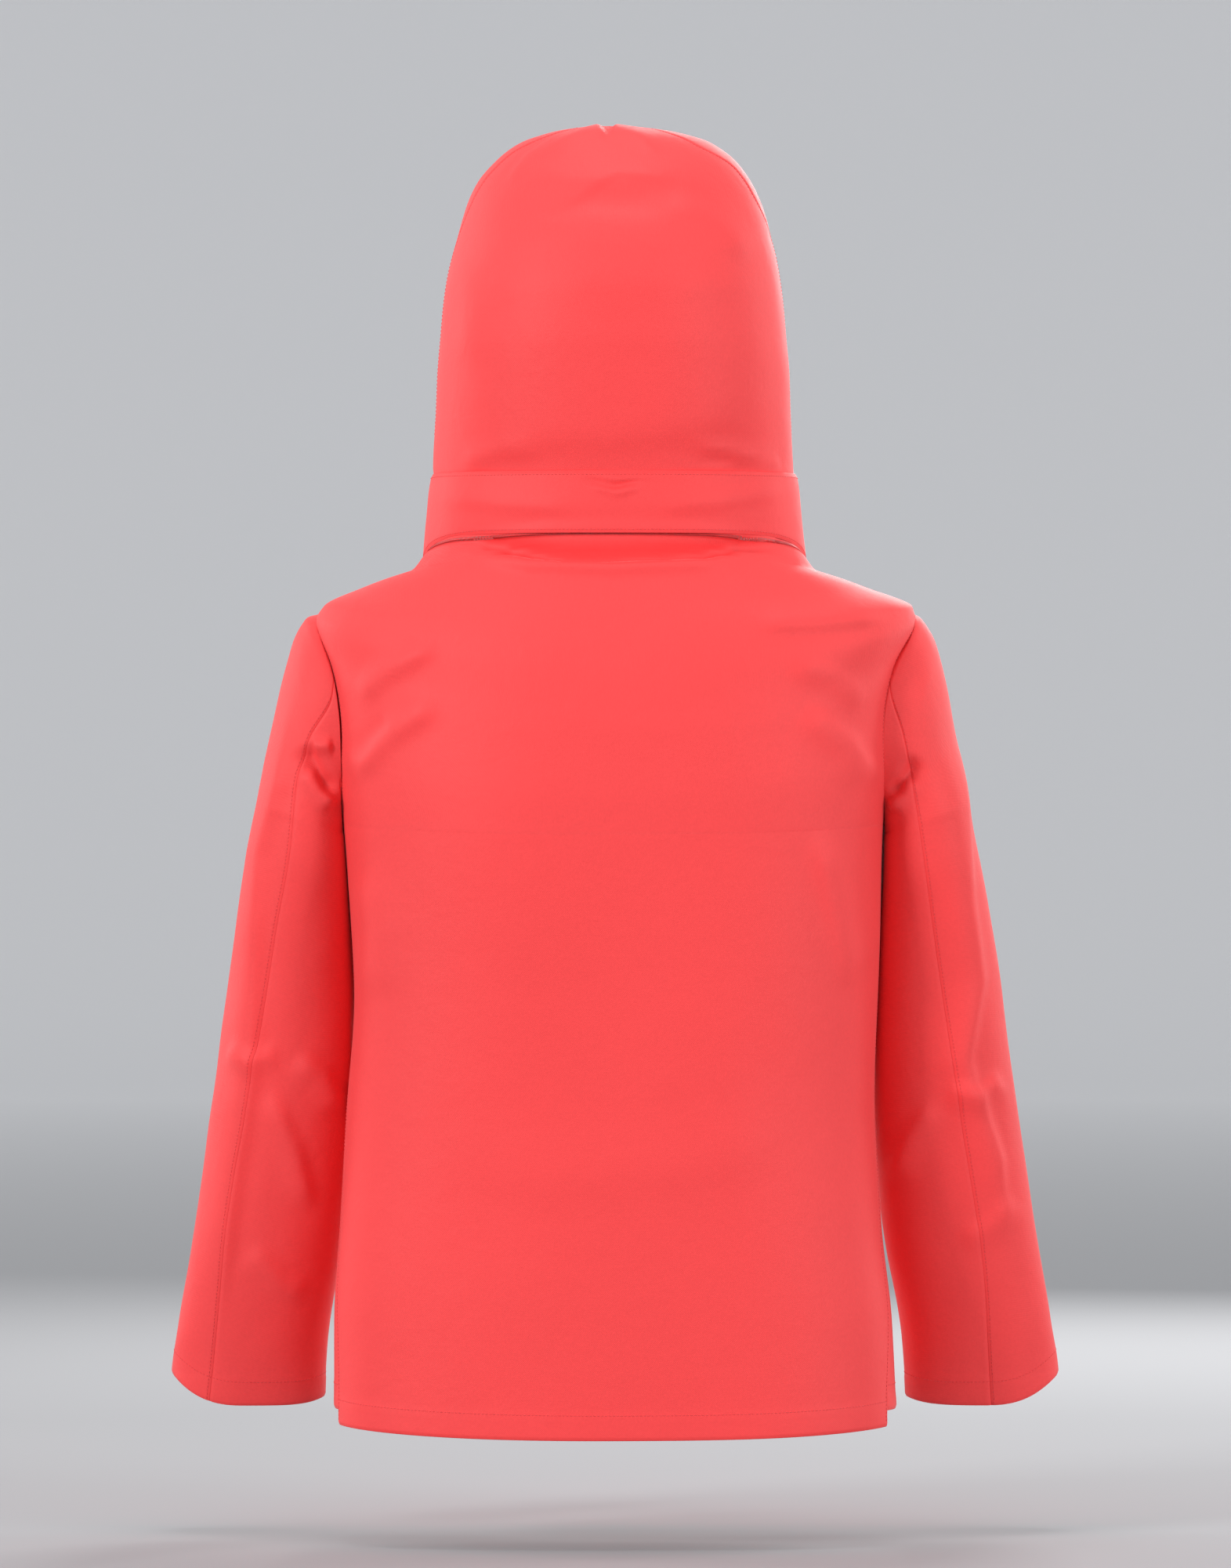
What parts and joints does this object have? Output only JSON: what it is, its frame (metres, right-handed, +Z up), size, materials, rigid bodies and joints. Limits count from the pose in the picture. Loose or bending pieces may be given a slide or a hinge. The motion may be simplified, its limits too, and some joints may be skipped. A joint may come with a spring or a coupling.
{
  "type": "hooded hardshell jacket",
  "caption": "Coral waterproof shell jacket with a shaped hood, full-length front zip, hand pockets and hemmed cuffs, filled as worn.",
  "frame": {"origin": "centre of the neck opening at the height of the neck seam, where the wearer's neck passes through", "axes": "+Z up, +Y towards the front with the zip, +X towards the wearer's right"},
  "size_m": [0.726, 0.2965, 1.0729],
  "materials": {
    "shell_fabric": "matte",
    "lining_fabric": "matte",
    "zip_tape": "satin",
    "trim_plastic": "satin"
  },
  "bodies": {
    "shell": {"back_panel": "shell_fabric", "front_panel_left": "shell_fabric", "front_panel_right": "shell_fabric", "hem_facing_back": "lining_fabric", "hem_facing_front_left": "lining_fabric", "hem_facing_front_right": "lining_fabric", "neck_band": "shell_fabric", "collar_lining": "lining_fabric", "chin_guard": "lining_fabric", "hood_lower_panel": "shell_fabric", "sleeve_head_left": "shell_fabric", "sleeve_head_right": "shell_fabric", "main_zip_tape_left": "zip_tape", "main_zip_tape_right": "zip_tape", "main_zip_top_stop": "trim_plastic", "main_zip_retainer_box": "trim_plastic", "hang_loop": "trim_plastic", "hand_pocket_zip_left": "zip_tape", "hand_pocket_zip_right": "zip_tape", "hand_pocket_bag_left": "lining_fabric", "hand_pocket_bag_right": "lining_fabric", "hem_cord_lock_left_housing": "trim_plastic", "hem_cord_lock_right_housing": "trim_plastic", "hood_cinch_lock_housing": "trim_plastic"},
    "hood": {"hood_back_panel": "shell_fabric", "hood_side_left": "shell_fabric", "hood_side_right": "shell_fabric", "hood_brim": "shell_fabric"},
    "sleeve_left": {"sleeve_outer_left": "shell_fabric", "sleeve_under_left": "shell_fabric", "cuff_facing_left": "lining_fabric", "cuff_loop_patch_left": "lining_fabric"},
    "sleeve_right": {"sleeve_outer_right": "shell_fabric", "sleeve_under_right": "shell_fabric", "cuff_facing_right": "lining_fabric", "cuff_loop_patch_right": "lining_fabric"},
    "tab_left": {"cuff_tab_left": "trim_plastic"},
    "tab_right": {"cuff_tab_right": "trim_plastic"},
    "zip_slider": {"main_zip_slider": "trim_plastic"},
    "zip_pull": {"main_zip_pull": "trim_plastic"},
    "pocket_slider_left": {"hand_pocket_slider_left": "trim_plastic"},
    "pocket_pull_left": {"hand_pocket_pull_left": "trim_plastic"},
    "pocket_slider_right": {"hand_pocket_slider_right": "trim_plastic"},
    "pocket_pull_right": {"hand_pocket_pull_right": "trim_plastic"},
    "hem_lock_left": {"hem_cord_lock_left_button": "trim_plastic"},
    "hem_lock_right": {"hem_cord_lock_right_button": "trim_plastic"},
    "hood_lock": {"hood_cinch_lock_button": "trim_plastic"}
  },
  "joints": [
    {"name": "hood_tilt", "type": "hinge", "parent": "shell", "child": "hood", "pos_m": [0, -0.03, 0.07], "axis": [1, 0, 0], "range_deg": [0, 50]},
    {"name": "sleeve_left_raise", "type": "hinge", "parent": "shell", "child": "sleeve_left", "pos_m": [-0.25, 0, -0.13], "axis": [0, 1, 0], "range_deg": [0, 38]},
    {"name": "sleeve_right_raise", "type": "hinge", "parent": "shell", "child": "sleeve_right", "pos_m": [0.25, 0, -0.13], "axis": [0, -1, 0], "range_deg": [0, 38]},
    {"name": "cuff_tab_left_peel", "type": "hinge", "parent": "sleeve_left", "child": "tab_left", "pos_m": [-0.338, 0.125, -0.662], "axis": [0, 0, 1], "range_deg": [0, 120]},
    {"name": "cuff_tab_right_peel", "type": "hinge", "parent": "sleeve_right", "child": "tab_right", "pos_m": [0.338, 0.125, -0.662], "axis": [0, 0, -1], "range_deg": [0, 120]},
    {"name": "main_zip_travel", "type": "slide", "parent": "shell", "child": "zip_slider", "axis": [0, 0, -1], "range_m": [0, 0.73]},
    {"name": "main_zip_pull_flip", "type": "hinge", "parent": "zip_slider", "child": "zip_pull", "pos_m": [0, 0.1232, 0.0585], "axis": [1, 0, 0], "range_deg": [0, 150]},
    {"name": "hand_pocket_left_zip_travel", "type": "slide", "parent": "shell", "child": "pocket_slider_left", "axis": [0, 0, -1], "range_m": [0, 0.17]},
    {"name": "hand_pocket_left_pull_flip", "type": "hinge", "parent": "pocket_slider_left", "child": "pocket_pull_left", "pos_m": [-0.13048, 0.10807, -0.3358], "axis": [0.9397, 0.342, 0], "range_deg": [0, 150]},
    {"name": "hand_pocket_right_zip_travel", "type": "slide", "parent": "shell", "child": "pocket_slider_right", "axis": [0, 0, -1], "range_m": [0, 0.17]},
    {"name": "hand_pocket_right_pull_flip", "type": "hinge", "parent": "pocket_slider_right", "child": "pocket_pull_right", "pos_m": [0.13048, 0.10807, -0.3358], "axis": [0.9397, -0.342, 0], "range_deg": [0, 150]},
    {"name": "hem_lock_left_press", "type": "slide", "parent": "shell", "child": "hem_lock_left", "axis": [0, -1, 0], "range_m": [0, 0.003], "stiffness_N_per_m": 300, "springref_m": -0.002},
    {"name": "hem_lock_right_press", "type": "slide", "parent": "shell", "child": "hem_lock_right", "axis": [0, -1, 0], "range_m": [0, 0.003], "stiffness_N_per_m": 300, "springref_m": -0.002},
    {"name": "hood_lock_press", "type": "slide", "parent": "shell", "child": "hood_lock", "axis": [0, -1, 0], "range_m": [0, 0.003], "stiffness_N_per_m": 300, "springref_m": -0.002}
  ]
}
